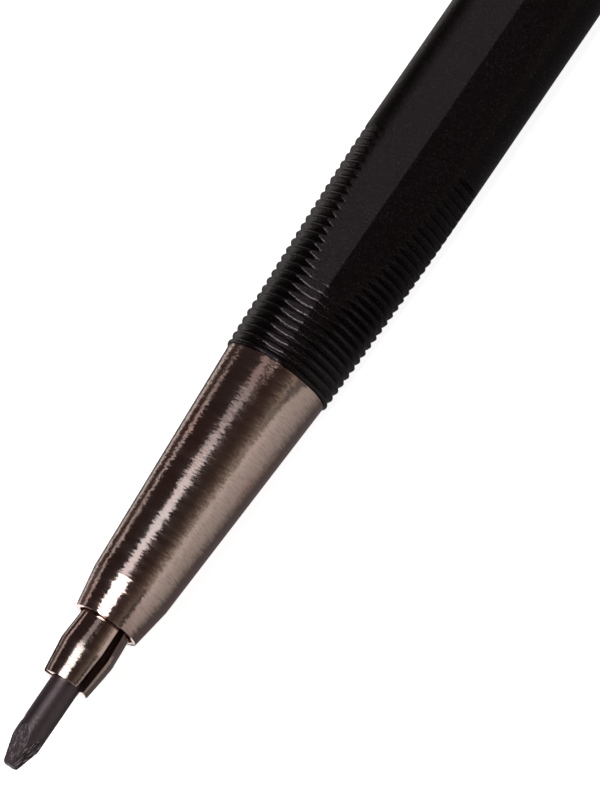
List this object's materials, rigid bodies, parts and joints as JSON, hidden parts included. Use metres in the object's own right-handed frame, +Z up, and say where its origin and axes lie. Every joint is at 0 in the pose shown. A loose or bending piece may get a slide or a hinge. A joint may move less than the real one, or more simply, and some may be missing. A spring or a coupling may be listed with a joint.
{
  "type": "lead holder",
  "caption": "Clutch lead holder with a three-sided barrel, turned finger ridges, metal nose cone, sprung split collet, pocket clip and push button with lead pointer.",
  "frame": {"origin": "on the flat that the barrel lies on, straight below the long axis, halfway along the visible barrel", "axes": "+X along the long axis towards the push button (writing tip towards -X), +Z up away from the flat it lies on"},
  "size_m": [0.1386, 0.0082, 0.0098],
  "materials": {
    "barrel_black": "satin black with a fine grain",
    "gunmetal": "turned and polished, dark nickel",
    "collet_metal": "turned",
    "inner_steel": "machined",
    "brass": "turned",
    "spring_steel": "drawn wire",
    "graphite": "graphite with a soft sheen",
    "pointer_plastic": "moulded"
  },
  "bodies": {
    "barrel": {"barrel": "barrel_black", "front_insert": "brass", "nose_cone": "gunmetal", "closing_bush": "inner_steel", "spring_seat": "brass", "rear_bush": "pointer_plastic", "rear_ferrule": "gunmetal"},
    "plunger": {"collet_sleeve": "collet_metal", "coupling_nut": "brass", "lead_tube": "inner_steel", "return_spring": "spring_steel", "spring_collar": "brass", "retaining_ring": "spring_steel", "button_socket": "brass"},
    "jaw_a": {"collet_jaw_a": "collet_metal"},
    "jaw_b": {"collet_jaw_b": "collet_metal"},
    "jaw_c": {"collet_jaw_c": "collet_metal"},
    "lead": {"lead": "graphite"},
    "button": {"push_button": "gunmetal", "button_snap_ring": "spring_steel", "pointer_body": "pointer_plastic", "pointer_blade": "inner_steel"},
    "clip": {"clip": "gunmetal"}
  },
  "joints": [
    {"name": "plunger_slide", "type": "slide", "parent": "barrel", "child": "plunger", "axis": [-1, 0, 0], "range_m": [0, 0.0035], "stiffness_N_per_m": 1200, "springref_m": -0.005, "deforming": ["return_spring"]},
    {"name": "jaw_a_flex", "type": "hinge", "parent": "plunger", "child": "jaw_a", "pos_m": [-0.0525, -0.00075, 0.0047], "axis": [0, 0.8131, 0.5821], "range_deg": [0, 1.1]},
    {"name": "jaw_b_flex", "type": "hinge", "parent": "plunger", "child": "jaw_b", "pos_m": [-0.0525, -0.00053, 0.00249], "axis": [0, -0.9107, 0.4131], "range_deg": [0, 1.1]},
    {"name": "jaw_c_flex", "type": "hinge", "parent": "plunger", "child": "jaw_c", "pos_m": [-0.0525, 0.00128, 0.00378], "axis": [0, 0.0976, -0.9952], "range_deg": [0, 1.1]},
    {"name": "lead_slide", "type": "slide", "parent": "plunger", "child": "lead", "axis": [-1, 0, 0], "range_m": [-0.0061, 0.02]},
    {"name": "button_pull", "type": "slide", "parent": "plunger", "child": "button", "axis": [1, 0, 0], "range_m": [0, 0.012]},
    {"name": "clip_flex", "type": "hinge", "parent": "barrel", "child": "clip", "pos_m": [0.047, 0.00062, 0.00716], "axis": [0, 0.9848, -0.1736], "range_deg": [0, 3], "stiffness_Nm_per_rad": 1.2, "springref_deg": -2.86}
  ],
  "couplings": [
    {"joint": "jaw_a_flex", "follows": "plunger_slide", "rad_per_m": 5.2},
    {"joint": "jaw_b_flex", "follows": "plunger_slide", "rad_per_m": 5.2},
    {"joint": "jaw_c_flex", "follows": "plunger_slide", "rad_per_m": 5.2}
  ]
}
